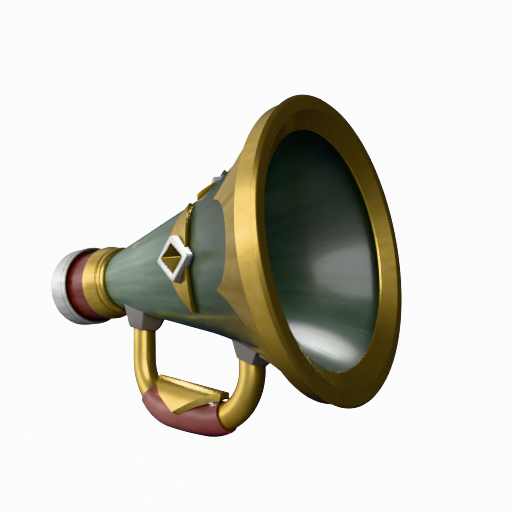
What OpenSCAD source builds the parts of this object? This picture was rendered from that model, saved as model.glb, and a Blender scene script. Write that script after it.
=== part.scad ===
// Speaking trumpet with a carrying handle. The horn lies along +X with its bell at +X, +Z is up and the
// handle hangs below. The origin is on the horn's axis, at the open end of the mouth tube. Millimetres.

/* [Horn] */
// Outside radius of the cone where it leaves the front collar
neck_r = 26.8; // [24:0.1:30]
// Growth of the cone's radius for each millimetre of its straight part
cone_slope = 0.245; // [0.2:0.005:0.3]
// Extra radius that the flare has reached at the lip
flare = 21.8; // [10:0.1:30]
// Where the flare begins, measured from the mouth
flare_start = 170; // [140:1:200]
// Thickness of the horn's sheet
wall = 1.2; // [0.8:0.1:3]
// Free radius of the mouth tube
mouth_r = 23.6; // [20:0.1:26]

/* [Bell rim] */
// Radius of the open bell at the rim's inner edge
bell_r = 80; // [70:0.5:90]
// Outside radius of the rim's front ring
rim_r = 100.8; // [95:0.1:105]
// Where the inner edge of the rim lies
bell_x = 272; // [265:0.5:280]
// Thickness of the scalloped sleeve
sleeve_t = 1; // [0.6:0.1:1.6]
// Number of scallops round the sleeve
scallops = 8; // [6:1:12]

/* [Ornaments] */
// Where the ornaments sit along the horn
badge_x = 187.4; // [180:0.1:195]
// Thickness of a leaf plate
leaf_t = 4; // [2:0.1:6]
// Half of a bezel's diagonal
bezel_d = 15.6; // [12:0.1:18]
// Height of a bezel's face over the horn's axis
bezel_h = 65; // [63:0.1:68]
// Height of a stud's point over the bezel's face
stud_h = 10.4; // [6:0.1:14]

/* [Handle] */
// Outside radius of the handle tube
tube_r = 9.76; // [8:0.01:12]
// Thickness of the handle tube's wall
tube_t = 1.6; // [1:0.1:2.5]
// Where the rear leg stands
leg_rear = 89; // [80:0.5:95]
// Where the front leg stands
leg_front = 202; // [190:0.5:210]
// Bend radius at the rear of the handle
bend_rear = 40; // [30:0.5:45]
// Bend radius at the front of the handle
bend_front = 38; // [30:0.5:45]
// Height where the rear bend begins
bend_z = -70; // [-80:0.5:-60]
// Downward slope of the straight run between the bends
run_slope = 6.5; // [0:0.5:12]
// Greatest radius of the grip
grip_r = 13.6; // [12:0.1:16]

/* [Hidden] */
$fn = 96;

gap = 0.05;
tube_out = mouth_r + wall;
cone_x0 = 60;
cone_x1 = 270;
stations = concat([cone_x0], [for (x = [flare_start : 10 : cone_x1]) x]);
run_turn = 90 - run_slope;
run_a = [leg_rear + bend_rear - bend_rear * cos(run_turn), bend_z - bend_rear * sin(run_turn)];
run_bx = leg_front - bend_front - bend_front * cos(run_turn);
run_b = [run_bx, run_a[1] - (run_bx - run_a[0]) * tan(run_slope)];
run_len = norm(run_b - run_a);
bend_front_z = run_b[1] + bend_front * sin(run_turn);
end_rear = -37.5;
end_front = -66.6;
boss_turn = 8;
grip_end_r = 11.6;

brass = [0.72, 0.58, 0.25];
pewter = [0.72, 0.71, 0.7];
green = [0.24, 0.36, 0.28];
red = [0.45, 0.16, 0.15];
iron = [0.42, 0.4, 0.39];

// Outside radius of the cone at x: straight at first, then a rising flare.
function cone_r(x) = neck_r + cone_slope * (x - 68)
    + flare * pow(max(0, (x - flare_start) / 100), 2.1);

// Turned solid about the horn's axis. The outline is given as radius and x.
module turned(outline) {
    rotate([0, 90, 0]) rotate_extrude() polygon(outline);
}

// Turned shell that follows the cone between two offsets from its outside.
module cone_shell(x0, x1, inner, outer) {
    xs = concat([x0], [for (x = stations) if (x > x0 + 0.5 && x < x1 - 0.5) x], [x1]);
    n = len(xs) - 1;
    turned(concat([for (x = xs) [cone_r(x) + outer, x]],
                  [for (i = [0 : n]) [cone_r(xs[n - i]) + inner, xs[n - i]]]));
}

// Solid inside of the cone's outside surface, grown by an offset.
module cone_core(x0, x1, grow) {
    xs = concat([x0], [for (x = stations) if (x > x0 + 0.5 && x < x1 - 0.5) x], [x1]);
    turned(concat([[0, x0]], [for (x = xs) [cone_r(x) + grow, x]], [[0, x1]]));
}

// Places a shape made at the top of the horn on one of its sides.
module on_side(turn) {
    rotate([turn, 0, 0]) children();
}

// Sheet cone, open at both ends, with shallow seats for the studs and holes for the two screws.
module horn_cone() {
    color(green) difference() {
        cone_shell(cone_x0, cone_x1, -wall, 0);
        for (turn = [90, 0, -90]) on_side(turn)
            translate([badge_x, 0, cone_r(badge_x) - 0.5]) cylinder(r = 2.5, h = 6);
        for (x = [leg_rear, leg_front])
            translate([x, 0, -cone_r(x) - 6]) cylinder(r = 2.6, h = 12);
    }
}

// Hoop round the outside of the lip.
module rim_band() {
    color(brass) turned([
        [cone_r(266.2) + gap, 266.2], [rim_r - 2.6, 266.3], [rim_r - 2.1, 266.8],
        [rim_r - 1.4, 277.2], [rim_r - 1.6, 277.9], [rim_r - 2, 278.2],
        [cone_r(cone_x1) + gap, 278.2], [cone_r(cone_x1) + gap, cone_x1]]);
}

// Formed front ring of the bell: an outer wall under the band, a flat face and a bevel to the opening.
module bell_ring() {
    out = cone_r(cone_x1);
    color(brass) turned([
        [out, 270.1], [out, 278.3], [rim_r - 0.5, 278.35], [rim_r, 279.2], [rim_r - 0.1, 280.2],
        [rim_r - 0.6, 280.8], [rim_r - 1.3, 281], [rim_r - 3.6, 281], [bell_r + 10.9, 280.5],
        [bell_r + 10.3, 280.2], [bell_r, bell_x],
        [bell_r - 0.4, bell_x - 1], [bell_r, bell_x - 1.8], [bell_r + 1.3, bell_x - 1.9],
        [bell_r + 2, bell_x - 0.8], [bell_r + 11, 278.4], [out - 1.9, 278.9], [out - 1.9, 270.1]]);
}

// Thin sleeve behind the rim, its rear edge cut to points by round bites.
module scalloped_sleeve() {
    color(brass) difference() {
        cone_shell(228.8, 266.1, gap, gap + sleeve_t);
        for (i = [0 : scallops - 1]) rotate([i * 360 / scallops, 0, 0])
            translate([222.9, 0, 40]) cylinder(r = 28.4, h = 90);
    }
}

// Wide collar over the end of the red sleeve.
module collar_rear() {
    color(brass) turned([
        [31.75, 43.2], [33, 43.7], [33.9, 45], [33.9, 47.6], [33.3, 50], [31.9, 56.4], [31.2, 57.6],
        [30, 58.2], [tube_out + gap, 58.2], [tube_out + gap, 50.1], [31.75, 50.1]]);
}

// Narrow collar over the joint of tube and cone.
module collar_front() {
    color(brass) turned([
        [29.5, 58.3], [30.5, 59.2], [30.95, 61], [30.95, 65], [30.3, 66.6], [29.2, 67.6], [28.2, 68],
        [cone_r(68) + gap, 68], [cone_r(cone_x0) + gap, cone_x0], [tube_out + gap, 58.3]]);
}

// Straight tube that carries the lip ring, the red sleeve and the rear collar.
module mouth_tube() {
    color(brass) turned([[mouth_r, 0], [tube_out, 0], [tube_out, cone_x0], [mouth_r, cone_x0]]);
}

// Painted wooden sleeve on the mouth tube.
module mouth_sleeve() {
    color(red) turned([
        [tube_out + gap, 12.1], [32.4, 12.1], [32.4, 18.7], [31.65, 43.2], [31.65, 50],
        [tube_out + gap, 50]]);
}

// Lip ring: a dished face to the mouth, a fine step, and a hollowed front face round the sleeve.
module lip_ring() {
    color(pewter) turned([
        [tube_out + gap, 0.3], [33.4, -2.4], [35.3, -1.9], [36.6, -0.5], [37.2, 1.2], [37.35, 3],
        [37.4, 16.6], [36.7, 17.1], [36.7, 17.7], [37.35, 18.2], [37.2, 20.8], [36.9, 21.8],
        [36.2, 22], [33.2, 19.2], [32.45, 18.7], [32.45, 12], [tube_out + gap, 12]]);
}

// Leaf plate bent to the cone: two arcs that meet in blunt tips.
module leaf(turn) {
    on_side(turn) color(brass) difference() {
        intersection() {
            cone_shell(172, 203, gap, leaf_t);
            translate([0, 0, 20]) linear_extrude(height = 60) intersection() {
                translate([240.2, 0]) circle(r = 65);
                translate([124.6, 0]) circle(r = 74.9);
                translate([188.4, 0]) circle(r = 38.8);
            }
        }
        translate([badge_x, 0, 40]) cylinder(r = 2.5, h = 40);
    }
}
module leaf_right() leaf(90);
module leaf_top() leaf(0);
module leaf_left() leaf(-90);

// Square frame standing on its corner, let down over the leaf to the cone.
module bezel(turn) {
    on_side(turn) color(pewter) difference() {
        translate([badge_x, 0, 48]) intersection() {
            cylinder(r = bezel_d, h = bezel_h - 48, $fn = 4);
            cube([2 * bezel_d - 1.6, 2 * bezel_d - 1.6, 60], center = true);
        }
        translate([badge_x, 0, 40]) cylinder(r = 10.4, h = 40, $fn = 4);
        cone_core(160, 215, gap);
        leaf_room();
    }
}

// The leaf's own space, grown a little, that bezel and stud are cut to.
module leaf_room() {
    intersection() {
        cone_shell(171, 204, -1, leaf_t + gap);
        translate([0, 0, 20]) linear_extrude(height = 60) intersection() {
            translate([240.2, 0]) circle(r = 65 + gap);
            translate([124.6, 0]) circle(r = 74.9 + gap);
        }
    }
}
module bezel_right() bezel(90);
module bezel_top() bezel(0);
module bezel_left() bezel(-90);

// Four-sided stud in the bezel, with a round shank through the leaf into its seat in the cone.
module stud(turn) {
    on_side(turn) color(brass) union() {
        difference() {
            translate([badge_x, 0, 0]) union() {
                translate([0, 0, 56]) cylinder(r = 10.3, h = bezel_h - 0.6 - 56, $fn = 4);
                translate([0, 0, bezel_h - 0.6])
                    cylinder(r1 = 10.3, r2 = 0, h = stud_h + 0.6, $fn = 4);
            }
            cone_core(160, 215, gap);
            leaf_room();
        }
        translate([badge_x, 0, cone_r(badge_x) - 0.45]) cylinder(r = 2.4, h = 8);
    }
}
module stud_right() stud(90);
module stud_top() stud(0);
module stud_left() stud(-90);

// Six-sided boss that stands square on the cone and widens towards it, its low edge chamfered, with an
// upright socket for the end of a handle leg. The foot is the middle of its widest low section.
module boss(leg, foot, lean, low_r, spread, tall, tube_end) {
    color(iron) difference() {
        translate([foot[0], 0, foot[1]]) rotate([0, lean, 0]) rotate([0, 0, boss_turn]) union() {
            cylinder(r1 = low_r, r2 = low_r + spread * tall, h = tall, $fn = 6);
            translate([0, 0, -3]) cylinder(r1 = low_r - 2, r2 = low_r, h = 3, $fn = 6);
        }
        cone_core(60, 250, gap);
        translate([leg, 0, tube_end - 20]) cylinder(r = tube_r + gap, h = 20 + gap);
        translate([leg, 0, tube_end - 5]) cylinder(r = 2.6, h = 30);
    }
}
module boss_rear() boss(leg_rear, [89.8, -41.4], 13.9, 15.4, 0.394, 21, end_rear);
module boss_front() boss(leg_front, [202.6, -69], 23.2, 14.6, 0.66, 16, end_front);

// Solid that follows the handle's path: leg, bend, straight run, bend, leg. The run and the front leg
// are a hair slimmer than the bends and reach a little way into them, which seats each joint cleanly.
module handle_path(r, top_up) {
    slim = r - 0.02;
    translate([leg_rear, 0, bend_z]) cylinder(r = r, h = end_rear - bend_z + top_up);
    translate([leg_rear + bend_rear, 0, bend_z]) rotate([90, 0, 0]) rotate([0, 0, 180])
        rotate_extrude(angle = run_turn) translate([bend_rear, 0]) circle(r = r);
    translate([run_a[0], 0, run_a[1]]) rotate([0, 90 + run_slope, 0]) translate([0, 0, -0.5])
        cylinder(r = slim, h = run_len + 1);
    translate([leg_front - bend_front, 0, bend_front_z]) rotate([90, 0, 0])
        rotate([0, 0, 180 + run_turn]) rotate_extrude(angle = 90 + run_slope)
            translate([bend_front, 0]) circle(r = r);
    translate([leg_front, 0, bend_front_z - 0.5])
        cylinder(r = slim, h = end_front - bend_front_z + 0.5 + top_up);
}

// Bent tube of the handle.
module handle_tube() {
    color(brass) difference() {
        handle_path(tube_r, 0);
        handle_path(tube_r - tube_t, 1);
        for (s = post_s) at_post(s) translate([0, 0, 5]) cylinder(r = 2.1, h = 8);
    }
}

// Brass plugs in the two ends of the tube, tapped for the screws.
module handle_plugs() {
    color(brass) for (p = [[leg_rear, end_rear], [leg_front, end_front]])
        translate([p[0], 0, p[1] - 7.5]) difference() {
            cylinder(r = tube_r - tube_t - gap, h = 7.4);
            translate([0, 0, -1]) cylinder(r = 2.5, h = 10);
        }
}

// Height of a washer's flat top inside the horn at x.
function washer_z(x) = -cone_r(x) + wall + 3;

// Screws that hold both bosses from inside the horn, slotted heads up.
module boss_screws() {
    color(iron) for (p = [[leg_rear, end_rear], [leg_front, end_front]]) difference() {
        union() {
            translate([p[0], 0, p[1] - 7]) cylinder(r = 2.45, h = washer_z(p[0]) - p[1] + 8);
            translate([p[0], 0, washer_z(p[0])]) cylinder(r1 = 4.8, r2 = 4, h = 2.4);
        }
        translate([p[0], 0, washer_z(p[0]) + 2.4]) cube([12, 1.1, 2], center = true);
    }
}

// Washers under the screw heads, filed to the slope of the horn.
module screw_washers() {
    color(brass) for (x = [leg_rear, leg_front]) difference() {
        intersection() {
            translate([x, 0, washer_z(x) - 8]) cylinder(r = 6.5, h = 8 - gap);
            cone_core(60, 240, -wall - gap);
        }
        translate([x, 0, washer_z(x) - 10]) cylinder(r = 2.55, h = 14);
    }
}

// Leather-covered grip: a barrel on the straight run that carries on round both bends.
module grip_sleeve() {
    half = run_len / 2;
    color(red) difference() {
        union() {
            translate([leg_rear + bend_rear, 0, bend_z]) rotate([90, 0, 0]) rotate([0, 0, 223])
                rotate_extrude(angle = run_turn - 43) translate([bend_rear, 0])
                    circle(r = grip_end_r);
            translate([run_a[0], 0, run_a[1]]) rotate([0, 90 + run_slope, 0]) rotate_extrude()
                polygon(concat([[0, -0.4], [grip_end_r - gap, -0.4]],
                    [for (i = [0 : 8]) [grip_end_r - gap + (grip_r - grip_end_r) * sin(i * 22.5),
                                        i * run_len / 8]],
                    [[grip_end_r - gap, run_len + 0.4], [0, run_len + 0.4]]));
            translate([leg_front - bend_front, 0, bend_front_z]) rotate([90, 0, 0])
                rotate([0, 0, 180 + run_turn]) rotate_extrude(angle = 27)
                    translate([bend_front, 0]) circle(r = grip_end_r);
        }
        handle_path(tube_r + gap, 1);
        for (s = post_s) at_post(s) cylinder(r = 3.1, h = 20);
    }
}

// The saddle's own frame: its long axis lies 10 degrees down towards the bell, along the grip.
saddle_a = [103.2, -106.4];
saddle_tilt = 10;
post_s = [9, 29];
module saddle_frame() {
    translate([saddle_a[0], 0, saddle_a[1]]) rotate([0, saddle_tilt, 0]) children();
}

// A place on the straight run, with +Z square to it.
module at_post(s) {
    translate([run_a[0], 0, run_a[1]]) rotate([0, run_slope, 0]) translate([s, 0, 0]) children();
}

// Arch of thick sheet over the grip, each side cut to one long point.
module grip_saddle() {
    color(brass) difference() {
        intersection() {
            saddle_frame() rotate([90, 0, 90]) linear_extrude(height = 90) difference() {
                polygon(concat([for (a = [0 : 10 : 180]) [17.6 * cos(a), 24.5 * sin(a)]],
                               [[-17.6, -6], [17.6, -6]]));
                polygon(concat([for (a = [0 : 10 : 180]) [13.8 * cos(a), 20.2 * sin(a)]],
                               [[-13.8, -7], [13.8, -7]]));
            }
            translate([0, 30, 0]) rotate([90, 0, 0]) linear_extrude(height = 60)
                polygon([[107.6, -80], [108.2, -83], [111.6, -85.6], [117, -92.4], [121.5, -97.5],
                         [130, -104.4], [138.9, -111.6], [143.2, -108], [151.2, -104.5],
                         [159.6, -101], [166, -99.3], [171, -98], [176.5, -97.6], [176.5, -80]]);
        }
        for (s = post_s) at_post(s) translate([0, 0, 15]) cylinder(r = 2.1, h = 20);
    }
}

// Shouldered posts that hold the arch off the grip; their thin ends go through arch and tube wall.
module saddle_posts() {
    color(brass) for (s = post_s) at_post(s) {
        difference() {
            translate([0, 0, tube_r - 0.6]) cylinder(r = 3, h = 12);
            rotate([0, 90, 0]) translate([0, 0, -10]) cylinder(r = tube_r + gap, h = 20);
            translate([0, 0, 19.2 - 0.06 * (s - 9)]) cylinder(r = 6, h = 9);
        }
        translate([0, 0, tube_r - tube_t]) cylinder(r = 2, h = 24.6 - tube_r - 0.06 * (s - 9));
    }
}

horn_cone();
rim_band();
bell_ring();
scalloped_sleeve();
collar_rear();
collar_front();
mouth_tube();
mouth_sleeve();
lip_ring();
leaf_right();
leaf_top();
leaf_left();
bezel_right();
bezel_top();
bezel_left();
stud_right();
stud_top();
stud_left();
boss_rear();
boss_front();
handle_tube();
handle_plugs();
boss_screws();
screw_washers();
grip_sleeve();
grip_saddle();
saddle_posts();
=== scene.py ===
"""Speaking trumpet, dressed, in the part's own frame: +X to the bell, +Z up, -Y the near side.

Meshes, lamps, camera and finishes are in metres. The sizes of the pieces are in millimetres.
"""
import bpy
import bmesh
import math
import numpy as np
from mathutils import Matrix, Vector


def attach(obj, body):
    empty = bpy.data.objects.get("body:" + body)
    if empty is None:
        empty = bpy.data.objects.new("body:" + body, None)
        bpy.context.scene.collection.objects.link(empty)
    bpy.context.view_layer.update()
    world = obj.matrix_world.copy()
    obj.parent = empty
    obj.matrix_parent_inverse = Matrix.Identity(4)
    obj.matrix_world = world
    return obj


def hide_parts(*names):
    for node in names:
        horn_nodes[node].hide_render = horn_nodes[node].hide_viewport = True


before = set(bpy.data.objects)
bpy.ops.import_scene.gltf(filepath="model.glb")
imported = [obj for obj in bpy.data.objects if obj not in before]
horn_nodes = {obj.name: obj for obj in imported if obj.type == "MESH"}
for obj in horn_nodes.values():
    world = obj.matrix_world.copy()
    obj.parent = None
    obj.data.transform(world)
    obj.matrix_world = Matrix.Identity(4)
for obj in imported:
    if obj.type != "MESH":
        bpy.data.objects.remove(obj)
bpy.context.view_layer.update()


# The studio: a pale table under the trumpet, a pale room and five soft lamps. Table and room are bright to
# the camera alone. The brass mirrors a dimmer room, bluish in its dark parts, with a few soft bright places.
scene = bpy.context.scene
scene.view_settings.view_transform = "Khronos PBR Neutral"
white, paper_glow = (1, 1, 1, 1), 2.6
table_top, table_half = -0.1268, 6.0


def plug(tree, node, **values):
    """Sets or joins a node's inputs, each named with _ for a space or numbered i0, i1 and so on."""
    for key, value in values.items():
        numbered = key[0] == "i" and key[1:].isdigit()
        socket = node.inputs[int(key[1:]) if numbered else key.replace("_", " ")]
        if isinstance(value, bpy.types.NodeSocket):
            tree.links.new(value, socket)
        else:
            socket.default_value = value


def add(tree, kind, settings=None, **values):
    """A new node of that kind with its settings and inputs."""
    node = tree.nodes.new(kind)
    for key, value in (settings or {}).items():
        setattr(node, key, value)
    plug(tree, node, **values)
    return node


def new_finish(name):
    """A new material and its node tree."""
    material = bpy.data.materials.new(name)
    material.use_nodes = True
    return material, material.node_tree


def surface(tree, **values):
    """Sets or joins the sockets of a finish's shader."""
    plug(tree, tree.nodes["Principled BSDF"], **values)


bm = bmesh.new()
bmesh.ops.create_grid(bm, x_segments=1, y_segments=1, size=table_half,
                      matrix=Matrix.Translation((0.14, 0.0, table_top)))
table_mesh = bpy.data.meshes.new("table")
bm.to_mesh(table_mesh)
bm.free()
table = bpy.data.objects.new("table", table_mesh)
scene.collection.objects.link(table)
table_paint, table_nodes = new_finish("table_paint")
surface(table_nodes, Base_Color=(0.5, 0.5, 0.5, 1), Roughness=0.9, Specular_IOR_Level=0.1,
        Emission_Color=white, Emission_Strength=paper_glow)
table_mesh.materials.append(table_paint)
table.visible_glossy = False
table.visible_diffuse = False


def maths(tree, operation, *numbers):
    """The result of a Math node on those numbers."""
    inputs = {f"i{k}": number for k, number in enumerate(numbers)}
    return add(tree, "ShaderNodeMath", {"operation": operation}, **inputs).outputs[0]


def ranged(tree, value, start, end, low, high, easing="LINEAR"):
    """A number that runs from low to high as the value runs from start to end, and stops there."""
    return add(tree, "ShaderNodeMapRange", {"interpolation_type": easing}, i0=value, i1=start, i2=end,
               i3=low, i4=high).outputs[0]


def mixed(tree, share, under, over, way="MIX"):
    """The colour under with a share of the colour over laid on it."""
    return add(tree, "ShaderNodeMix", {"data_type": "RGBA", "blend_type": way}, i0=share, i6=under,
               i7=over).outputs[2]


# Each bright place of the room is a way to it, how tight it is and how strong.
room = bpy.data.worlds.new("room")
scene.world = room
room.use_nodes = True
room_nodes = room.node_tree
looking = add(room_nodes, "ShaderNodeTexCoord").outputs["Generated"]
glow = 0.025
for way, tightness, strength in (((-0.46, -0.82, 0.34), 30.0, 1.3), ((-0.665, -0.7, 0.24), 32.0, 2.0),
                                 ((-0.54, 0.02, 0.84), 8.0, 0.5), ((-0.5, -0.7, 0.2), 2.0, 0.25),
                                 ((0.54, -0.83, 0.1), 8.0, 0.85), ((-0.8, -0.5, 0.05), 3.0, 0.35),
                                 ((-0.1, -0.6, -0.8), 3.0, 0.22), ((-0.95, -0.2, 0.2), 14.0, 0.5),
                                 ((0.98, -0.1, 0.15), 14.0, 0.4)):
    facing = add(room_nodes, "ShaderNodeVectorMath", {"operation": "DOT_PRODUCT"}, i0=looking,
                 i1=Vector(way).normalized())
    lobe = maths(room_nodes, "POWER", maths(room_nodes, "MAXIMUM", facing.outputs["Value"], 0.0), tightness)
    glow = maths(room_nodes, "MULTIPLY_ADD", lobe, strength, glow)
by_camera = add(room_nodes, "ShaderNodeLightPath").outputs["Is Camera Ray"]
brightness = add(room_nodes, "ShaderNodeMix", {"data_type": "FLOAT"}, i0=by_camera, i2=glow, i3=paper_glow)
lit = ranged(room_nodes, glow, 0.0, 0.15, 0.0, 1.0)
bluish = mixed(room_nodes, lit, (0.92, 0.96, 2.2, 1), white)
plug(room_nodes, room_nodes.nodes["Background"], Strength=brightness.outputs[0],
     Color=mixed(room_nodes, by_camera, bluish, white))

# Each lamp is a disc, with its aim, the way to it, its distance, size and power, and if it casts shadows.
horn_middle, grip_middle = (0.16, 0, 0), (0.145, 0, -0.087)
for lamp_name, aim, way, far, size, power, shaded in (
        ("lamp_front_left", horn_middle, (-0.62, -0.78, 0.2), 1.3, 0.55, 3.9, True),
        ("lamp_front_right", horn_middle, (0.75, -0.66, 0.06), 1.3, 0.3, 0.6, True),
        ("lamp_into_the_bell", horn_middle, (0.66, -0.68, 0.25), 1.2, 0.9, 5.2, True),
        ("lamp_over_the_grip", grip_middle, (-0.55, 0.3, 0.78), 0.1, 0.03, 0.04, False),
        ("lamp_high_behind", horn_middle, (0.17, 0.22, 0.96), 1.3, 0.66, 9.5, False)):
    lamp_data = bpy.data.lights.new(lamp_name, "AREA")
    lamp_data.shape = "DISK"
    lamp_data.size = size
    lamp_data.energy = power
    lamp_data.use_shadow = shaded
    lamp_data.cycles.use_multiple_importance_sampling = shaded
    lamp = bpy.data.objects.new(lamp_name, lamp_data)
    scene.collection.objects.link(lamp)
    towards = Vector(way).normalized()
    lamp.location = Vector(aim) + towards * far
    lamp.rotation_euler = towards.to_track_quat("Z", "Y").to_euler()
    lamp.visible_camera = False
    lamp.visible_glossy = not shaded or lamp_name == "lamp_into_the_bell"


def linked_pieces(lamp_name, collection_name):
    """An empty collection for the pieces that the lamp's light is linked to."""
    pieces = bpy.data.collections.new(collection_name)
    bpy.data.objects[lamp_name].light_linking.receiver_collection = pieces
    return pieces


# The two lamps without shadows light only the pieces put in these collections. The lamp into the bell
# spares the bezels.
under_high_lamp = linked_pieces("lamp_high_behind", "under_high_lamp")
bell_lamp_spares = linked_pieces("lamp_into_the_bell", "bell_lamp_spares")
round_the_grip = linked_pieces("lamp_over_the_grip", "round_the_grip")

# The camera stands low, beyond the bell on the near side, and looks up a little. Its lens and shift are
# given in pixels of the photograph.
photo_px, focal_px, axis_px = 512, 500, (216.6, 226.9)
cam_data = bpy.data.cameras.new("camera")
cam = bpy.data.objects.new("camera", cam_data)
scene.collection.objects.link(cam)
cam_right = Vector((0.7677, 0.6397, -0.0379)).normalized()
cam_ahead = Vector((-0.617, 0.7537, 0.2264)).normalized()
cam_right = (cam_right - cam_ahead * cam_right.dot(cam_ahead)).normalized()
cam_down = cam_ahead.cross(cam_right)
cam_place = Matrix((cam_right, -cam_down, -cam_ahead)).transposed().to_4x4()
cam_place.translation = Vector((0.4198, -0.3002, -0.0593))
cam.matrix_world = cam_place
cam_data.sensor_width = 36
cam_data.lens = focal_px / photo_px * cam_data.sensor_width
cam_data.shift_x = (photo_px / 2 - axis_px[0]) / photo_px
cam_data.shift_y = -(photo_px / 2 - axis_px[1]) / photo_px
cam_data.clip_start = 0.01
scene.camera = cam


# The horn's cone: tinplate rolled to a long cone, planished out to a flare at the lip and painted green,
# inside and out. The paint is old: streaky along the horn, dusty high inside and chipped in one place near
# the collar. Its colour also carries painted light: a painted highlight near the collar, painted shade
# darkening the flare and the whole inside, and painted shade in the corners beside other parts.
MM = 0.001
cone_start, cone_end, wall = 60.0, 270.0, 1.2
throat_x, throat_r, taper = 68.0, 26.8, 0.245
flare_start, flare_rise, flare_power = 170.0, 21.8, 2.1


def cone_r(x):
    """Outside radius of the cone at x."""
    rise = max(0.0, (x - flare_start) / 100.0)
    return throat_r + taper * (x - throat_x) + flare_rise * rise ** flare_power


def softened(outline, radii):
    """A closed outline of (x, r) with each corner turned into a short arc between two holding points."""
    least_turn, steps = math.radians(14), 4
    longest_cut, hold_at, hold_room = 0.42, 1.35, 0.48
    out = []
    for i, radius in enumerate(radii):
        a, b, c = Vector(outline[i - 1]), Vector(outline[i]), Vector(outline[(i + 1) % len(outline)])
        turn = (b - a).angle(c - b, 0.0)
        if turn < least_turn or radius <= 0:
            out.append(tuple(b))
            continue
        back, on = (a - b).normalized(), (c - b).normalized()
        cut = min(radius * math.tan(turn / 2), longest_cut * (b - a).length, longest_cut * (c - b).length)
        before, after, hold = b + back * cut, b + on * cut, cut * hold_at
        if hold < hold_room * (b - a).length:
            out.append(tuple(b + back * hold))
        for s in range(steps + 1):
            t = s / steps
            out.append(tuple(before * (1 - t) ** 2 + b * 2 * t * (1 - t) + after * t * t))
        if hold < hold_room * (c - b).length:
            out.append(tuple(b + on * hold))
    return out


def faced_outwards(mesh):
    """Merges a closed mesh's doubles and turns its faces outwards."""
    shell = bmesh.new()
    shell.from_mesh(mesh)
    bmesh.ops.remove_doubles(shell, verts=shell.verts, dist=1e-6)
    bmesh.ops.recalc_face_normals(shell, faces=shell.faces)
    shell.to_mesh(mesh)
    shell.free()


def closed_piece(name, verts, faces):
    """A piece in the scene from points in millimetres and the faces between them."""
    mesh = bpy.data.meshes.new(name)
    mesh.from_pydata([tuple(c * MM for c in v) for v in verts], [], faces)
    faced_outwards(mesh)
    piece = bpy.data.objects.new(name, mesh)
    scene.collection.objects.link(piece)
    return piece


def turned(name, outline, around):
    """A piece turned about the horn's axis from a closed outline of (x, r)."""
    rings = len(outline)
    verts, faces = [], []
    for k in range(around):
        th = 2 * math.pi * k / around
        m = (k + 1) % around
        verts += [(x, -math.cos(th) * r, math.sin(th) * r) for x, r in outline]
        for i in range(rings):
            j = (i + 1) % rings
            faces.append((k * rings + i, m * rings + i, m * rings + j, k * rings + j))
    return closed_piece(name, verts, faces)


def finished(obj, smooth_angle=38):
    """A piece shaded smooth up to that angle, riding on the trumpet's one body."""
    obj.data.polygons.foreach_set("use_smooth", [True] * len(obj.data.polygons))
    obj.data.set_sharp_from_angle(angle=math.radians(smooth_angle))
    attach(obj, "root")
    return obj


def effect_group(name, inputs, outputs):
    """A shader group with named inputs and outputs, what its inputs give, and its output node."""
    group = bpy.data.node_groups.new(name, "ShaderNodeTree")
    for label, usual in inputs:
        socket = group.interface.new_socket(name=label, in_out="INPUT", socket_type="NodeSocketFloat")
        socket.default_value = usual
    for label in outputs:
        group.interface.new_socket(name=label, in_out="OUTPUT", socket_type="NodeSocketFloat")
    return group, group.nodes.new("NodeGroupInput").outputs, group.nodes.new("NodeGroupOutput")


def group_in(tree, group, **values):
    """What a shader group puts out where it is placed in a finish with those values."""
    return add(tree, "ShaderNodeGroup", {"node_tree": group}, **values).outputs


def scaled(tree, vector, factor):
    """A colour or a place times one number."""
    return add(tree, "ShaderNodeVectorMath", {"operation": "SCALE"}, i0=vector, Scale=factor).outputs[0]


def ramp(tree, value, stops):
    """The colour that a value picks from stops of (place, colour)."""
    node = add(tree, "ShaderNodeValToRGB", i0=value)
    while len(node.color_ramp.elements) < len(stops):
        node.color_ramp.elements.new(0.5)
    for element, (place, colour) in zip(node.color_ramp.elements, stops):
        element.position = place
        element.color = (*colour, 1)
    return node.outputs[0]


def bumped(tree, strength, distance, height):
    """A normal that follows small heights on the surface."""
    return add(tree, "ShaderNodeBump", Strength=strength, Distance=distance, Height=height).outputs[0]


# Wear and painted shade that all finishes use: bright where an edge is rubbed, and painted shade, dark in
# corners and between parts where shade falls.
wear_and_shade, wear_and_shade_given, wear_and_shade_out = effect_group(
    "rubbed_edges_and_painted_shade", (("Edge Width", 0.0008), ("Corner Reach", 0.004)), ("Rubbed", "Grime"))
edges = add(wear_and_shade, "ShaderNodeAmbientOcclusion", {"samples": 12, "inside": True, "only_local": True},
            Distance=wear_and_shade_given["Edge Width"]).outputs["AO"]
corners = add(wear_and_shade, "ShaderNodeAmbientOcclusion", {"samples": 12},
              Distance=wear_and_shade_given["Corner Reach"]).outputs["AO"]
plug(wear_and_shade, wear_and_shade_out, Rubbed=ranged(wear_and_shade, edges, 0.72, 0.3, 0.0, 1.0),
     Grime=ranged(wear_and_shade, corners, 0.9, 0.25, 0.0, 1.0))

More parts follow.
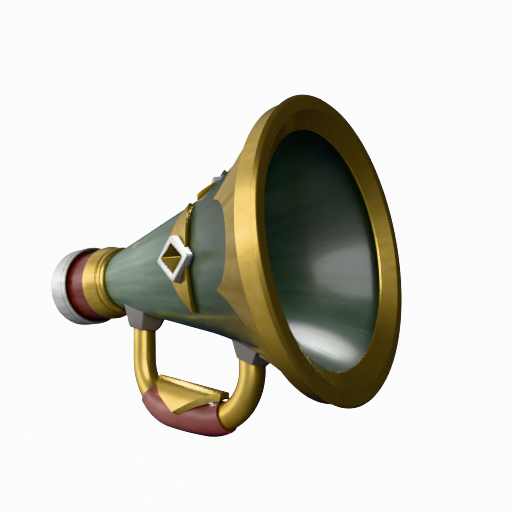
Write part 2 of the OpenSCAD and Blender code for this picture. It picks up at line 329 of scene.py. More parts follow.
# Streaks that run along the horn, the same on any radius, and soft blotches.
streaks, streaks_given, streaks_out = effect_group(
    "streaks_along_the_horn", (("Along", 6.0), ("Round", 3.0), ("Detail", 3.0)), ("Streak", "Blotch"))
here = add(streaks, "ShaderNodeTexCoord").outputs["Object"]
xyz = add(streaks, "ShaderNodeSeparateXYZ", i0=here).outputs
off_axis = add(streaks, "ShaderNodeCombineXYZ", Y=xyz["Y"], Z=xyz["Z"]).outputs[0]
round_way = add(streaks, "ShaderNodeVectorMath", {"operation": "NORMALIZE"}, i0=off_axis).outputs[0]
along = maths(streaks, "MULTIPLY", xyz["X"], streaks_given["Along"])
place = add(streaks, "ShaderNodeVectorMath", {"operation": "ADD"},
            i0=scaled(streaks, round_way, streaks_given["Round"]),
            i1=add(streaks, "ShaderNodeCombineXYZ", X=along).outputs[0]).outputs[0]
brush = add(streaks, "ShaderNodeTexNoise", Vector=place, Scale=2.2, Detail=streaks_given["Detail"],
            Roughness=0.55)
blotch = add(streaks, "ShaderNodeTexNoise", Vector=here, Scale=22.0, Detail=2.0, Roughness=0.5)
plug(streaks, streaks_out, Streak=brush.outputs["Fac"], Blotch=blotch.outputs["Fac"])

green_paint, green_nodes = new_finish("green_paint")
here = add(green_nodes, "ShaderNodeTexCoord").outputs["Object"]
xyz = add(green_nodes, "ShaderNodeSeparateXYZ", i0=here).outputs
inside = add(green_nodes, "ShaderNodeAttribute", {"attribute_name": "inside"}).outputs["Fac"]
brushed = group_in(green_nodes, streaks, Along=5.0, Round=2.6, Detail=3.0)
worn_and_shaded = group_in(green_nodes, wear_and_shade, Edge_Width=0.0006, Corner_Reach=0.012)
tone = ramp(green_nodes, brushed["Streak"], [(0.3, (0.108, 0.168, 0.118)), (0.5, (0.162, 0.242, 0.172)),
                                             (0.72, (0.226, 0.32, 0.235))])
mottled = ramp(green_nodes, brushed["Blotch"], [(0.3, (0.8, 0.82, 0.8)), (0.7, (1.15, 1.12, 1.12))])
paint = mixed(green_nodes, 1.0, tone, mottled, "MULTIPLY")
# Painted light along the horn: a painted highlight near the collar, then painted shade, darker towards the
# lip. Inside, painted shade darkens the green all over.
lit_at_collar_shaded_at_lip = ranged(green_nodes, xyz["X"], 0.11, 0.235, 1.08, 0.47, "SMOOTHSTEP")
painted_light_factor = add(green_nodes, "ShaderNodeMix", {"data_type": "FLOAT"}, i0=inside, i2=lit_at_collar_shaded_at_lip, i3=0.54)
dust = maths(green_nodes, "MULTIPLY", inside, ranged(green_nodes, xyz["Z"], -0.05, 0.02, 0.06, 0.45))
dusty_and_shaded = mixed(green_nodes, dust, scaled(green_nodes, paint, painted_light_factor.outputs[0]), (0.15, 0.155, 0.15, 1))
# Painted shade: the green goes dark in corners and beside other parts, where shade falls.
shaded_in_corners = mixed(green_nodes, worn_and_shaded["Grime"], dusty_and_shaded, (0.022, 0.04, 0.036, 1))
from_chip = add(green_nodes, "ShaderNodeVectorMath", {"operation": "DISTANCE"}, i0=here,
                i1=(0.112, -0.0305, 0.0222)).outputs["Value"]
ragged = add(green_nodes, "ShaderNodeTexNoise", Vector=here, Scale=420.0, Detail=3.0).outputs["Fac"]
chip_edge = maths(green_nodes, "MULTIPLY_ADD", ragged, 0.004, from_chip)
chip = ranged(green_nodes, chip_edge, 0.0052, 0.0058, 1.0, 0.0)
film = maths(green_nodes, "MULTIPLY_ADD", chip, -0.6, brushed["Streak"])
surface(green_nodes, Base_Color=mixed(green_nodes, chip, shaded_in_corners, (0.5, 0.42, 0.22, 1)),
        Roughness=ranged(green_nodes, brushed["Streak"], 0.3, 0.7, 0.36, 0.26),
        Coat_Weight=0.6, Coat_Roughness=0.14, Normal=bumped(green_nodes, 0.12, 0.0015, film))

stations = [float(x) for x in np.arange(cone_start, cone_end + 1, 2.5)]
cone_out = [(x, cone_r(x)) for x in stations]
cone_in = [(x, cone_r(x) - wall) for x in reversed(stations)]
cone_sides = 224
horn_cone = finished(turned("horn_cone_sheet", cone_out + cone_in, around=cone_sides))
inside_mark = horn_cone.data.attributes.new("inside", "FLOAT", "POINT")
inside_mark.data.foreach_set("value", ([0.0] * len(cone_out) + [1.0] * len(cone_in)) * cone_sides)
horn_cone.data.materials.append(green_paint)
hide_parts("horn_cone")
under_high_lamp.objects.link(horn_cone)


# The bell's rim: a brass hoop round the lip and a heavy formed ring in front of it, with a fine seam between
# them. The ring turns over a flat face, which looks dark, and bevels inwards to the opening.
brass, brass_nodes = new_finish("rim_brass")
hazed = group_in(brass_nodes, streaks, Along=30.0, Round=4.0, Detail=4.0)
worn_and_shaded = group_in(brass_nodes, wear_and_shade, Edge_Width=0.0006, Corner_Reach=0.004)
metal = ramp(brass_nodes, hazed["Streak"], [(0.3, (0.7, 0.47, 0.125)), (0.52, (0.82, 0.59, 0.175)),
                                            (0.75, (0.9, 0.69, 0.24))])
dark_spots = ramp(brass_nodes, hazed["Blotch"], [(0.32, (0.88, 0.86, 0.82)), (0.6, (1.0, 1.0, 1.0))])
tinted = mixed(brass_nodes, 1.0, metal, dark_spots, "MULTIPLY")
# Painted shade: the brass goes dark in corners and beside other parts, where shade falls.
shaded_in_corners = mixed(brass_nodes, worn_and_shaded["Grime"], tinted, (0.16, 0.09, 0.03, 1))
surface(brass_nodes, Base_Color=mixed(brass_nodes, worn_and_shaded["Rubbed"], shaded_in_corners, (0.92, 0.77, 0.38, 1)),
        Metallic=0.88, Roughness=ranged(brass_nodes, hazed["Streak"], 0.3, 0.7, 0.32, 0.22),
        Normal=bumped(brass_nodes, 0.03, 0.001, hazed["Blotch"]))

seat = 0.05
lip_out = cone_r(cone_end)
lip_in = lip_out - 1.9
band_outline = [(266.2, cone_r(266.2) + seat), (266.25, 98.75), (277.9, 99.45), (278.25, 99.1),
                (278.25, lip_out + seat), (cone_end, lip_out + seat)]
band_radii = [0, 0.8, 0.3, 0, 0, 0]
rim_band = finished(turned("rim_band_hoop", softened(band_outline, band_radii), around=288))
rim_band.data.materials.append(brass)
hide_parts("rim_band")

ring_outline = [(270.1, lip_out), (278.35, lip_out), (278.35, 99.75), (278.6, 100.7), (279.1, 100.8),
                (280.95, 98.7), (280.95, 96.4), (280.45, 90.7), (272.0, 80.0), (271.0, 79.6), (270.2, 80.0),
                (270.1, 81.3), (271.2, 82.0), (278.4, 91.0), (278.9, lip_in), (270.1, lip_in)]
ring_radii = [0, 0, 0.2, 0.3, 0.5, 1.6, 0, 0.9, 1.0, 0, 0, 0, 0, 0.5, 0.5, 0.3]
bell_ring = finished(turned("bell_ring_front", softened(ring_outline, ring_radii), around=288))
bell_ring.data.materials.append(brass)
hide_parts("bell_ring")


# The scalloped sleeve: thin dull brass let down over the flare behind the rim, its rear edge cut to eight
# points with round bites between them, and soldered down. Its colour carries painted light: lighter above
# and darker below, with painted shade in its corners.
dull_brass, dull_nodes = new_finish("dull_brass")
hazed = group_in(dull_nodes, streaks, Along=9.0, Round=5.0, Detail=4.0)
worn_and_shaded = group_in(dull_nodes, wear_and_shade, Edge_Width=0.0006, Corner_Reach=0.009)
skin = ramp(dull_nodes, hazed["Streak"], [(0.3, (0.42, 0.3, 0.11)), (0.5, (0.56, 0.42, 0.165)),
                                          (0.74, (0.66, 0.52, 0.23))])
here = add(dull_nodes, "ShaderNodeTexCoord").outputs["Object"]
height = add(dull_nodes, "ShaderNodeSeparateXYZ", i0=here).outputs["Z"]
# Painted light: the brass is lighter above and darker below. Painted shade also darkens its corners.
painted_light_from_above = scaled(dull_nodes, skin, ranged(dull_nodes, height, -0.08, 0.07, 0.72, 1.38))
shaded_in_corners = mixed(dull_nodes, worn_and_shaded["Grime"], painted_light_from_above, (0.13, 0.085, 0.04, 1))
surface(dull_nodes, Base_Color=mixed(dull_nodes, worn_and_shaded["Rubbed"], shaded_in_corners, (0.8, 0.68, 0.38, 1)),
        Metallic=0.75, Roughness=0.5, Normal=bumped(dull_nodes, 0.15, 0.001, hazed["Streak"]))

# Seen square on, each bite is a circle with its middle at bite_x, 45 degrees round from the next. The points
# end at point_tip, and the rows of faces crowd towards the cut edge.
sleeve_top, sleeve_wall, point_tip = 266.15, 1.0, 228.9
bite_x, bite_r, half_bite = 222.9, 28.4, 22.5
outer_lift, inner_lift, crowding = 1.05, 0.02, 1.4
rows, around = 14, 512
verts, faces = [], []
for lift in (outer_lift, inner_lift):
    for k in range(around):
        th = 2 * math.pi * k / around
        from_middle = math.radians(abs((math.degrees(th) + half_bite) % (2 * half_bite) - half_bite))
        edge_x = point_tip + 0.1
        for _ in range(20):
            side = (cone_r(edge_x) + sleeve_wall) * math.sin(from_middle)
            reach = bite_r ** 2 - side ** 2
            edge_x = max(point_tip, bite_x + math.sqrt(reach)) if reach > 0 else point_tip
        for i in range(rows):
            x = edge_x + (sleeve_top - edge_x) * (i / (rows - 1)) ** crowding
            r = cone_r(x) + lift
            verts.append((x, -math.cos(th) * r, math.sin(th) * r))
below = around * rows
for k in range(around):
    start, beside = k * rows, (k + 1) % around * rows
    for i in range(rows - 1):
        a, b = start + i, beside + i
        faces += [(a, a + 1, b + 1, b), (below + a, below + b, below + b + 1, below + a + 1)]
    for i in (0, rows - 1):
        a, b = start + i, beside + i
        faces.append((a, b, below + b, below + a))
scalloped = finished(closed_piece("scalloped_sleeve_sheet", verts, faces))
scalloped.data.materials.append(dull_brass)
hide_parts("scalloped_sleeve")


# The two collars: a wide turned brass band over the end of the red sleeve and a narrow one over the joint of
# tube and cone, with a fine groove between them.
rear_outline = [(43.2, 31.75), (43.3, 32.8), (44.6, 33.8), (47.6, 33.9), (50.0, 33.4), (58.1, 31.4),
                (59.3, 30.7), (59.7, 29.7), (59.7, 24.9), (50.1, 24.9), (50.1, 31.75)]
rear_radii = [0.2, 0.5, 1.0, 1.0, 0.6, 0.6, 0.6, 0.3, 0, 0, 0]
collar_rear = finished(turned("collar_rear_band", softened(rear_outline, rear_radii), around=160))
front_outline = [(59.8, 29.6), (60.2, 30.5), (61.0, 30.9), (64.0, 30.9), (65.6, 30.0), (66.6, 28.9),
                 (66.8, 28.0), (66.8, cone_r(66.8) + seat), (60.0, cone_r(60.0) + seat), (59.8, 24.9)]
front_radii = [0.3, 0.5, 0.5, 0.5, 0.5, 0.4, 0.2, 0, 0, 0]
collar_front = finished(turned("collar_front_band", softened(front_outline, front_radii), around=160))
for collar, node in ((collar_rear, "collar_rear"), (collar_front, "collar_front")):
    collar.data.materials.append(brass)
    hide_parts(node)


# The red sleeve: turned wood under many coats of red gloss paint, glued on the mouth tube between the lip
# ring and the rear collar.
red_paint, red_nodes = new_finish("red_gloss_paint")
brushed = group_in(red_nodes, streaks, Along=14.0, Round=2.4, Detail=3.0)
worn_and_shaded = group_in(red_nodes, wear_and_shade, Edge_Width=0.0008, Corner_Reach=0.003)
coat = ramp(red_nodes, brushed["Streak"], [(0.3, (0.13, 0.028, 0.025)), (0.5, (0.23, 0.055, 0.048)),
                                           (0.72, (0.31, 0.1, 0.085))])
# Painted shade: the red goes dark in corners and beside other parts, where shade falls.
surface(red_nodes, Base_Color=mixed(red_nodes, worn_and_shaded["Grime"], coat, (0.04, 0.008, 0.008, 1)),
        Roughness=0.34, Coat_Weight=0.5, Coat_Roughness=0.14,
        Normal=bumped(red_nodes, 0.1, 0.0008, brushed["Streak"]))

wood_outline = [(12.1, 24.9), (12.1, 32.35), (18.7, 32.3), (30.0, 32.0), (43.2, 31.65), (50.0, 31.65),
                (50.0, 24.9)]
wood_radii = [0, 0.4, 0, 0, 0, 0.3, 0]
mouth_sleeve = finished(turned("mouth_sleeve_wood", softened(wood_outline, wood_radii), around=160))
mouth_sleeve.data.materials.append(red_paint)
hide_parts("mouth_sleeve")


# The lip ring: cast pale metal, turned smooth, with a dish for the lips behind, a fine groove near its front
# and a narrow hollowed face round the red sleeve. The plain brass mouth tube shows inside it.
pewter, pewter_nodes = new_finish("pale_metal")
hazed = group_in(pewter_nodes, streaks, Along=20.0, Round=3.0, Detail=4.0)
worn_and_shaded = group_in(pewter_nodes, wear_and_shade, Edge_Width=0.0009, Corner_Reach=0.004)
cast = ramp(pewter_nodes, hazed["Streak"], [(0.3, (0.62, 0.595, 0.575)), (0.52, (0.8, 0.785, 0.77)),
                                            (0.74, (0.9, 0.89, 0.88))])
# Painted shade: the pale metal goes dark in corners and beside other parts, where shade falls.
shaded_in_corners = mixed(pewter_nodes, worn_and_shaded["Grime"], cast, (0.12, 0.11, 0.1, 1))
surface(pewter_nodes, Base_Color=mixed(pewter_nodes, worn_and_shaded["Rubbed"], shaded_in_corners, (0.93, 0.92, 0.9, 1)),
        Metallic=0.6, Roughness=ranged(pewter_nodes, hazed["Streak"], 0.3, 0.7, 0.44, 0.32),
        Normal=bumped(pewter_nodes, 0.12, 0.0008, hazed["Blotch"]))

lip_outline = [(0.3, 24.9), (-2.4, 33.4), (-1.9, 35.3), (-0.5, 36.6), (1.2, 37.2), (3.0, 37.35),
               (16.6, 37.4), (17.1, 36.7), (17.7, 36.7), (18.2, 37.4), (20.8, 37.25), (21.9, 36.7),
               (22.0, 36.0), (19.2, 33.2), (18.7, 32.4), (12.0, 32.4), (12.0, 24.9)]
lip_radii = [0.5, 1.2, 0, 0, 0, 0, 0.4, 0.25, 0.25, 0.4, 0.5, 0.4, 0.4, 0, 0, 0, 0]
lip_ring = finished(turned("lip_ring_casting", softened(lip_outline, lip_radii), around=176))
lip_ring.data.materials.append(pewter)
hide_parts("lip_ring")
tube_outline = [(0.0, 23.6), (0.0, 24.8), (60.0, 24.8), (60.0, 23.6)]
mouth_tube = finished(turned("mouth_tube_drawn", softened(tube_outline, [0.3] * 4), around=128))
mouth_tube.data.materials.append(dull_brass)
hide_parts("mouth_tube")


# The three ornaments: a leaf plate of 4 mm brass bent to the cone, a square pale metal frame standing on a
# corner over it, and a four-sided brass stud in the frame. Each piece is made at the top of the horn, and a
# node tree sets copies of it a quarter turn apart. Frames and studs sit 3 degrees round from the leaves.
leaf_thick, leaf_gap = 4.0, 0.05


def applied(piece):
    """The piece with what its modifiers make as its plain mesh."""
    bpy.context.view_layer.update()
    made = bpy.data.meshes.new_from_object(piece.evaluated_get(bpy.context.evaluated_depsgraph_get()))
    piece.modifiers.clear()
    piece.data = made
    return piece


def eased(piece, width, steps=2, angle=30):
    """The piece with each edge sharper than the angle rounded over."""
    edge = piece.modifiers.new("edge", "BEVEL")
    edge.width = width * MM
    edge.segments = steps
    edge.limit_method = "ANGLE"
    edge.angle_limit = math.radians(angle)
    return applied(piece)


def grown(piece, tree_name, finish, sizes, build):
    """The piece made over by a node tree with those named inputs, as a plain mesh with its finish."""
    tree = bpy.data.node_groups.new(tree_name, "GeometryNodeTree")
    tree.interface.new_socket(name="Geometry", in_out="INPUT", socket_type="NodeSocketGeometry")
    tree.interface.new_socket(name="Geometry", in_out="OUTPUT", socket_type="NodeSocketGeometry")
    settings = {}
    for label, kind, value in (*sizes, ("Finish", "NodeSocketMaterial", finish)):
        socket = tree.interface.new_socket(name=label, in_out="INPUT", socket_type=kind)
        settings[socket.identifier] = value
    given = tree.nodes.new("NodeGroupInput").outputs
    real = add(tree, "GeometryNodeRealizeInstances", i0=build(tree, given))
    dressed = add(tree, "GeometryNodeSetMaterial", Geometry=real.outputs[0], Material=given["Finish"])
    plug(tree, tree.nodes.new("NodeGroupOutput"), Geometry=dressed.outputs[0])
    maker = piece.modifiers.new(tree_name, "NODES")
    maker.node_group = tree
    for identifier, value in settings.items():
        maker[identifier] = value
    return applied(piece)


def turned_copies(tree, given):
    """Instances of the piece, each turned one step further about the horn's axis."""
    points = add(tree, "GeometryNodePoints", Count=given["Copies"])
    number = add(tree, "GeometryNodeInputIndex")
    turn = maths(tree, "MULTIPLY_ADD", number.outputs[0], given["Turn Step"], given["First Turn"])
    about = add(tree, "ShaderNodeCombineXYZ", X=turn)
    return add(tree, "GeometryNodeInstanceOnPoints", Points=points.outputs[0], Instance=given["Geometry"],
               Rotation=about.outputs[0]).outputs[0]


def all_round(piece, tree_name, first_turn):
    """The piece at the near side, the top and the far side of the horn, as one mesh."""
    sizes = (("Copies", "NodeSocketInt", 3), ("First Turn", "NodeSocketFloat", math.radians(first_turn)),
             ("Turn Step", "NodeSocketFloat", math.radians(90)))
    return grown(piece, tree_name, piece.data.materials[0], sizes, turned_copies)


def sheet_faces(columns, rows):
    """Faces of a bent sheet whose outer and inner points alternate, row by row down each column."""
    faces = []
    column = (rows + 1) * 2
    for i in range(columns):
        for j in range(rows):
            a, b = i * column + j * 2, (i + 1) * column + j * 2
            faces += [(a, b, b + 2, a + 2), (a + 1, a + 3, b + 3, b + 1)]
        for j in (0, rows):
            a, b = i * column + j * 2, (i + 1) * column + j * 2
            faces.append((a, a + 1, b + 1, b))
    for i in (0, columns):
        for j in range(rows):
            a = i * column + j * 2
            faces.append((a, a + 2, a + 3, a + 1))
    return faces


# The leaf's outline runs on three circles, each an x and a radius: mouth side, bell side and side tips.
# It stops a hair short of the tips.
mouth_arc, bell_arc, tip_arc = (240.2, 65.0), (124.6, 74.9), (188.4, 38.8)
short_of_tip, across, deep = 0.9995, 72, 10
verts = []
for i in range(across + 1):
    y = tip_arc[1] * short_of_tip * math.sin(math.pi * (i / across - 0.5))
    tip = math.sqrt(tip_arc[1] ** 2 - y * y)
    low = max(mouth_arc[0] - math.sqrt(mouth_arc[1] ** 2 - y * y), tip_arc[0] - tip)
    high = min(bell_arc[0] + math.sqrt(bell_arc[1] ** 2 - y * y), tip_arc[0] + tip)
    for j in range(deep + 1):
        x = low + (high - low) * j / deep
        for lift in (leaf_thick, leaf_gap):
            verts.append((x, y, math.sqrt((cone_r(x) + lift) ** 2 - y * y)))
leaf = eased(closed_piece("leaf_plates", verts, sheet_faces(across, deep)), width=0.55, steps=3)
leaf.data.materials.append(brass)
leaf = finished(all_round(leaf, "leaves_round_the_horn", -90))
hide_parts("leaf_right", "leaf_top", "leaf_left")

frame_x, face_h, frame_tilt, drop = 188.0, 66.0, math.radians(6), 3.0
frame_out, frame_in, clip, foot_spread = 16.2, 10.4, 0.8, 1.14
corner_dirs = [(1, 0), (0, 1), (-1, 0), (0, -1)]


def square_path(half, cut, parts):
    """Points round a square that stands on its corner, the corners clipped, each side in parts."""
    stops = []
    for dx, dy in corner_dirs:
        tx, ty = -dy, dx
        stops.append((dx * (half - cut) - tx * cut, dy * (half - cut) - ty * cut))
        stops.append((dx * (half - cut) + tx * cut, dy * (half - cut) + ty * cut))
    if cut == 0:
        stops = stops[::2]
    path = []
    for a, b in zip(stops, stops[1:] + stops[:1]):
        pieces = parts if math.dist(a, b) > 4 else 1
        for k in range(pieces):
            path.append((a[0] + (b[0] - a[0]) * k / pieces, a[1] + (b[1] - a[1]) * k / pieces))
    return path


# Four loops make the frame: outer foot, outer edge, inner edge and inner foot. A foot stands off the cone by
# its gap, and an edge has none because it lies in the frame's tilted face.
outer_path = square_path(frame_out, clip, 8)
inner_path = square_path(frame_in, 0, 9)
verts, faces, loops = [], [], []
for path, spread, gap in ((outer_path, foot_spread, 0.1), (outer_path, 1.0, None),
                          (inner_path, 1.0, None), (inner_path, 1.0, 0.6)):
    loops.append(list(range(len(verts), len(verts) + len(path))))
    for px, py in path:
        px, py = px * spread, py * spread
        x = frame_x + px
        in_face = face_h + px * math.tan(frame_tilt)
        verts.append((x, py, in_face if gap is None else math.sqrt((cone_r(x) + gap) ** 2 - py * py)))
for low, high in ((loops[0], loops[1]), (loops[2], loops[3])):
    for k in range(len(low)):
        m = (k + 1) % len(low)
        faces.append((low[k], low[m], high[m], high[k]))
for outer, inner in ((loops[1], loops[2]), (loops[0], loops[3])):
    both = outer + inner
    fill = bmesh.new()
    made = [fill.verts.new(verts[v]) for v in both]
    for loop in (made[:len(outer)], made[len(outer):]):
        for k in range(len(loop)):
            fill.edges.new((loop[k], loop[(k + 1) % len(loop)]))
    bmesh.ops.triangle_fill(fill, use_beauty=True, edges=fill.edges)
    fill.verts.index_update()
    faces += [tuple(both[v.index] for v in face.verts) for face in fill.faces]
    fill.free()
bezel = eased(closed_piece("bezel_frames", verts, faces), width=0.7, angle=40)
bezel.data.materials.append(pewter)
bezel = finished(all_round(bezel, "bezels_round_the_horn", -90 + drop), smooth_angle=30)
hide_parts("bezel_right", "bezel_top", "bezel_left")
under_high_lamp.objects.link(bezel)
bell_lamp_spares.objects.link(bezel)
bell_lamp_spares.collection_objects[0].light_linking.link_state = "EXCLUDE"

# The studs' brass carries painted shade on the faces that look up, darkest at the horn's sides.
stud_brass = brass.copy()
stud_brass.name = "stud_brass"
stud_nodes = stud_brass.node_tree
bright = stud_nodes.nodes["Principled BSDF"].inputs["Base Color"].links[0].from_socket
here = add(stud_nodes, "ShaderNodeTexCoord").outputs["Object"]
height = add(stud_nodes, "ShaderNodeSeparateXYZ", i0=here).outputs["Z"]
above_the_ridge = ranged(stud_nodes, height, -0.0041, -0.0029, 0.0, 1.0)
painted_shade_on_top_faces = maths(stud_nodes, "MULTIPLY", above_the_ridge, ranged(stud_nodes, height, 0.04, 0.05, 0.85, 0.6))
surface(stud_nodes, Base_Color=mixed(stud_nodes, painted_shade_on_top_faces, bright, (0.1, 0.065, 0.02, 1)))

stud_half, stud_foot, stud_base, stud_tip = 10.3, 61.0, 64.4, 75.4
verts = [(frame_x + dx * stud_half, dy * stud_half, stud_foot) for dx, dy in corner_dirs]
for dx, dy in corner_dirs:
    base_h = stud_base + dx * stud_half * math.tan(frame_tilt)
    verts.append((frame_x + dx * stud_half, dy * stud_half, base_h))
verts.append((frame_x - 0.8, 0, stud_tip))
faces = [(3, 2, 1, 0)]
faces += [(k, (k + 1) % 4, 4 + (k + 1) % 4, 4 + k) for k in range(4)]
faces += [(4 + k, 4 + (k + 1) % 4, 8) for k in range(4)]
stud = eased(closed_piece("pyramid_studs", verts, faces), width=0.45, steps=3)
stud.data.materials.append(stud_brass)
stud = finished(all_round(stud, "studs_round_the_horn", -90 + drop), smooth_angle=25)
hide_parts("stud_right", "stud_top", "stud_left")


# The bosses: two six-sided tapered blocks of grey cast iron, filed to the cone, that take the ends of the
# handle. Screws from inside the horn hold them, each with a washer, in plugs in the tube's ends.
iron, iron_nodes = new_finish("grey_iron")
here = add(iron_nodes, "ShaderNodeTexCoord").outputs["Object"]
grit = add(iron_nodes, "ShaderNodeTexNoise", Vector=here, Scale=90.0, Detail=5.0, Roughness=0.6)
cloud = add(iron_nodes, "ShaderNodeTexNoise", Vector=here, Scale=25.0, Detail=2.0)
worn_and_shaded = group_in(iron_nodes, wear_and_shade, Edge_Width=0.001, Corner_Reach=0.004)
cast = ramp(iron_nodes, cloud.outputs["Fac"], [(0.3, (0.27, 0.245, 0.23)), (0.7, (0.42, 0.39, 0.37))])
# Painted shade: the iron goes dark in corners and beside other parts, where shade falls.
shaded_in_corners = mixed(iron_nodes, worn_and_shaded["Grime"], cast, (0.06, 0.055, 0.05, 1))
surface(iron_nodes, Base_Color=mixed(iron_nodes, worn_and_shaded["Rubbed"], shaded_in_corners, (0.6, 0.58, 0.55, 1)),
        Metallic=0.35, Roughness=0.5, Normal=bumped(iron_nodes, 0.15, 0.0006, grit.outputs["Fac"]))

leg_rear, leg_front, bore_r = 89.0, 202.0, 9.8
boss_turn, sunk, edge_in, edge_deep, flat_parts = math.radians(8), 0.15, 2, 3, 12
# Each block has four loops of points: on the cone, at its lower rim, at its bottom face and round the tube.
# Two middle points close it at both ends.
hexagon = []
for k in range(6):
    a = (math.cos(k * math.pi / 3), math.sin(k * math.pi / 3))
    b = (math.cos((k + 1) * math.pi / 3), math.sin((k + 1) * math.pi / 3))
    for q in range(flat_parts):
        hexagon.append((a[0] + (b[0] - a[0]) * q / flat_parts, a[1] + (b[1] - a[1]) * q / flat_parts))
count = len(hexagon)
for name, leg, rim_x, rim_z, lean, rim_r, spread, tall in (
        ("boss_rear", leg_rear, 89.8, -41.4, 13.9, 15.4, 0.394, 20.0),
        ("boss_front", leg_front, 202.6, -69.0, 23.2, 14.6, 0.66, 15.5)):
    lean = math.radians(lean)
    stand = (Matrix.Translation((rim_x, 0, rim_z)) @ Matrix.Rotation(lean, 4, "Y")
             @ Matrix.Rotation(boss_turn, 4, "Z"))
    verts = []
    for u, v in hexagon:
        low, high = 0.0, tall
        for _ in range(30):
            mid = (low + high) / 2
            r = rim_r + spread * mid
            spot = stand @ Vector((u * r, v * r, mid))
            if math.hypot(spot.y, spot.z) > cone_r(spot.x) - sunk:
                low = mid
            else:
                high = mid
        r = rim_r + spread * low
        verts.append(stand @ Vector((u * r, v * r, low)))
    for r, h in ((rim_r, 0), (rim_r - edge_in, -edge_deep)):
        verts += [stand @ Vector((u * r, v * r, h)) for u, v in hexagon]
    under = stand @ Vector((0, 0, -edge_deep))
    for spot in verts[2 * count:]:
        away = Vector((spot.x - leg, spot.y, 0)).normalized() * bore_r
        verts.append(Vector((leg + away.x, away.y, under.z - math.tan(lean) * (leg + away.x - under.x))))
    verts += [Vector((leg, 0, under.z + 2)), Vector((rim_x + 3, 0, -cone_r(rim_x + 3) + 1))]
    faces = [(3 * count + k, 3 * count + (k + 1) % count, 4 * count) for k in range(count)]
    faces += [((k + 1) % count, k, 4 * count + 1) for k in range(count)]
    for level in range(3):
        for k in range(count):
            a, b = level * count + k, level * count + (k + 1) % count
            faces.append((a, b, b + count, a + count))
    block = eased(closed_piece(name + "_block", verts, faces), width=0.6, steps=3, angle=18)
    block.data.materials.append(iron)
    block = finished(block, smooth_angle=24)
    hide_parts(name)
for node, finish in (("boss_screws", iron), ("screw_washers", dull_brass), ("handle_plugs", dull_brass)):
    horn_nodes[node].data.materials.clear()
    horn_nodes[node].data.materials.append(finish)


# The handle: one length of 19.5 mm brass tube, bent cold to a U. A node tree draws the round section along
# the line of legs, bends and straight run, which falls towards the bell.
tube_r, tube_sides = 9.76, 56
rear_end, front_end, spacing = -37.5, -66.6, 2.0
bend_rear, bend_front, bend_z = 40.0, 38.0, -70.0
run_slope = math.radians(6.5)
run_turn = math.pi / 2 - run_slope


def round_rear(a):
    """The point (x, z) on the rear bend where the tube has turned by a since the rear leg."""
    return leg_rear + bend_rear - bend_rear * math.cos(a), bend_z - bend_rear * math.sin(a)


run_a = round_rear(run_turn)
run_bx = leg_front - bend_front - bend_front * math.cos(run_turn)
run_b = (run_bx, run_a[1] - (run_bx - run_a[0]) * math.tan(run_slope))
front_z = run_b[1] + bend_front * math.sin(run_turn)


def along_run(t):
    """The point (x, z) on the straight run, t from 0 to 1."""
    return run_a[0] + (run_b[0] - run_a[0]) * t, run_a[1] + (run_b[1] - run_a[1]) * t


def round_front(a):
    """The point (x, z) on the front bend where the tube has turned by a since the rear leg."""
    return leg_front - bend_front - bend_front * math.cos(a), front_z - bend_front * math.sin(a)


line = [(leg_rear, z) for z in np.arange(rear_end, bend_z, -spacing)]
line += [round_rear(a) for a in np.linspace(0, run_turn, 28)]
line += [along_run(t) for t in np.linspace(0, 1, 18)[1:-1]]
line += [round_front(a) for a in np.linspace(run_turn, math.pi, 32)]
line += [(leg_front, z) for z in np.arange(front_z + spacing, front_end - 0.1, spacing)]
line.append((leg_front, front_end))
line_mesh = bpy.data.meshes.new("handle_tube_bent")
line_edges = [(i, i + 1) for i in range(len(line) - 1)]
line_mesh.from_pydata([(x * MM, 0, z * MM) for x, z in line], line_edges, [])
handle = bpy.data.objects.new("handle_tube_bent", line_mesh)
scene.collection.objects.link(handle)


def drawn_tube(tree, given):
    """A round section drawn along the piece's line, its ends closed."""
    path = add(tree, "GeometryNodeMeshToCurve", Mesh=given["Geometry"])
    section = add(tree, "GeometryNodeCurvePrimitiveCircle", Resolution=given["Sides"],
                  Radius=given["Tube Radius"])
    return add(tree, "GeometryNodeCurveToMesh", Curve=path.outputs[0], i1=section.outputs[0],
               Fill_Caps=True).outputs[0]


tube_sizes = (("Tube Radius", "NodeSocketFloat", tube_r * MM), ("Sides", "NodeSocketInt", tube_sides))
handle = grown(handle, "tube_along_a_line", brass, tube_sizes, drawn_tube)
faced_outwards(handle.data)
handle = finished(handle)
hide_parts("handle_tube")
round_the_grip.objects.link(handle)


# The grip: red leather drawn over a firm winding on the lower run of the handle, thickest in the middle, its
# two ends turned in against the tube.
leather, leather_nodes = new_finish("red_leather")
here = add(leather_nodes, "ShaderNodeTexCoord").outputs["Object"]
pores = add(leather_nodes, "ShaderNodeTexVoronoi", Vector=here, Scale=900.0)
cloud = add(leather_nodes, "ShaderNodeTexNoise", Vector=here, Scale=28.0, Detail=3.0)
worn_and_shaded = group_in(leather_nodes, wear_and_shade, Edge_Width=0.0008, Corner_Reach=0.005)
hide = ramp(leather_nodes, cloud.outputs["Fac"], [(0.3, (0.2, 0.055, 0.05)), (0.52, (0.3, 0.09, 0.08)),
                                                  (0.74, (0.4, 0.15, 0.135))])
# Painted shade: the leather goes dark in corners and beside other parts, where shade falls.
surface(leather_nodes, Base_Color=mixed(leather_nodes, worn_and_shaded["Grime"], hide, (0.05, 0.012, 0.01, 1)),
        Roughness=0.42, Coat_Weight=0.5, Coat_Roughness=0.2,
        Normal=bumped(leather_nodes, 0.12, 0.0003, pores.outputs["Distance"]))

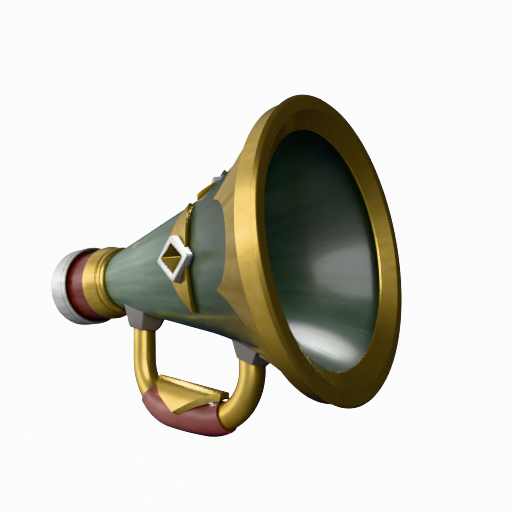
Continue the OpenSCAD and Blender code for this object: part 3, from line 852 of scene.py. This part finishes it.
grip_r, grip_end, turned_in, end_share, fullness = 13.6, 11.6, 10.9, 0.02, 0.9
rear_turn, front_turn, sides = math.radians(43), run_turn + math.radians(27), 64
centre_line = [(*round_rear(a), math.sin(a), -math.cos(a)) for a in np.linspace(rear_turn, run_turn, 16)]
for t in np.linspace(0, 1, 20)[1:-1]:
    centre_line.append((*along_run(t), math.cos(run_slope), -math.sin(run_slope)))
for a in np.linspace(run_turn, front_turn, 14):
    centre_line.append((*round_front(a), math.sin(a), -math.cos(a)))
lengths = [0.0]
for p, q in zip(centre_line, centre_line[1:]):
    lengths.append(lengths[-1] + math.dist(p[:2], q[:2]))
radii = []
for s in lengths:
    u = min(1.0, max(0.0, (s / lengths[-1] - end_share) / (1 - 2 * end_share)))
    radii.append(grip_end + (grip_r - grip_end) * math.sin(math.pi * u) ** fullness)
last = len(centre_line) - 1
stack = [(0, bore_r), (0, turned_in), *enumerate(radii), (last, turned_in), (last, bore_r)]
verts, faces = [], []
for i, r in stack:
    cx, cz, dx, dz = centre_line[i]
    for k in range(sides):
        th = 2 * math.pi * k / sides
        verts.append((cx - dz * r * math.cos(th), r * math.sin(th), cz + dx * r * math.cos(th)))
top = (len(stack) - 1) * sides
for ring in range(0, top, sides):
    for k in range(sides):
        m = (k + 1) % sides
        faces.append((ring + k, ring + m, ring + sides + m, ring + sides + k))
for k in range(sides):
    m = (k + 1) % sides
    faces.append((k, m, top + m, top + k))
grip = eased(closed_piece("grip_leather", verts, faces), width=0.6, steps=3, angle=40)
grip.data.materials.append(leather)
grip = finished(grip)
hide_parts("grip_sleeve")
round_the_grip.objects.link(grip)


# The plate over the grip: 4 mm brass bent to an arch that stands off the leather on two posts, each side cut
# to one long point. Its top line runs straight and falls towards the bell. The edge on the bell's side of
# the points is cut on a slant.
arch_half, arch_high, sheet, side_share = 17.6, 24.5, 4.4, 0.85
plate_start, tilt, over = Vector((103.2, 0, -106.4)), math.radians(10), 64
ahead = Vector((math.cos(tilt), 0, -math.sin(tilt)))
upward = Vector((math.sin(tilt), 0, math.cos(tilt)))
cut_line = [(0.0, 90.0), (4.3, 71.0), (8.3, 53.4), (10.7, 46.1), (15.7, 33.1), (25.1, 20.5), (34.3, 8.5),
            (37.3, 14.5), (45.8, 29.5), (53.8, 44.0), (59.7, 53.4), (64.5, 65.0), (69.6, 72.5)]
point_at, plate_end, slant, slant_run = 34.3, cut_line[-1][0], 10.0, 3.0


def cut_angle(s):
    """Angle on the arch, in degrees up from its side, where the plate is cut at s along it."""
    for (sa, ga), (sb, gb) in zip(cut_line, cut_line[1:]):
        if sa <= s <= sb:
            return ga + (gb - ga) * (s - sa) / (sb - sa)
    return cut_line[-1][1]


columns = sorted({round(v, 2) for v in [*np.linspace(0.25, plate_end, 64), point_at]})
verts = []
for s in columns:
    lowest = cut_angle(s)
    slanted = slant * min(1.0, max(0.0, (s - point_at) / slant_run))
    for j in range(over + 1):
        v = -1 + 2 * j / over
        angle = math.radians(90 - v * (90 - lowest))
        under = math.radians(90 - v * (90 - lowest + slanted))
        lie = Vector((arch_high * math.cos(under), arch_half * math.sin(under))).normalized()
        in_y = arch_half * math.cos(under) - lie.x * sheet * side_share
        in_h = arch_high * math.sin(under) - lie.y * sheet
        for y, h in ((arch_half * math.cos(angle), arch_high * math.sin(angle)), (in_y, in_h)):
            p = plate_start + ahead * s + upward * h
            verts.append((p.x, y, p.z))
saddle = eased(closed_piece("grip_plate", verts, sheet_faces(len(columns) - 1, over)), width=0.5, angle=40)
saddle.data.materials.append(brass)
saddle = finished(saddle)
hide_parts("grip_saddle")
round_the_grip.objects.link(saddle)
horn_nodes["saddle_posts"].data.materials.clear()
horn_nodes["saddle_posts"].data.materials.append(dull_brass)
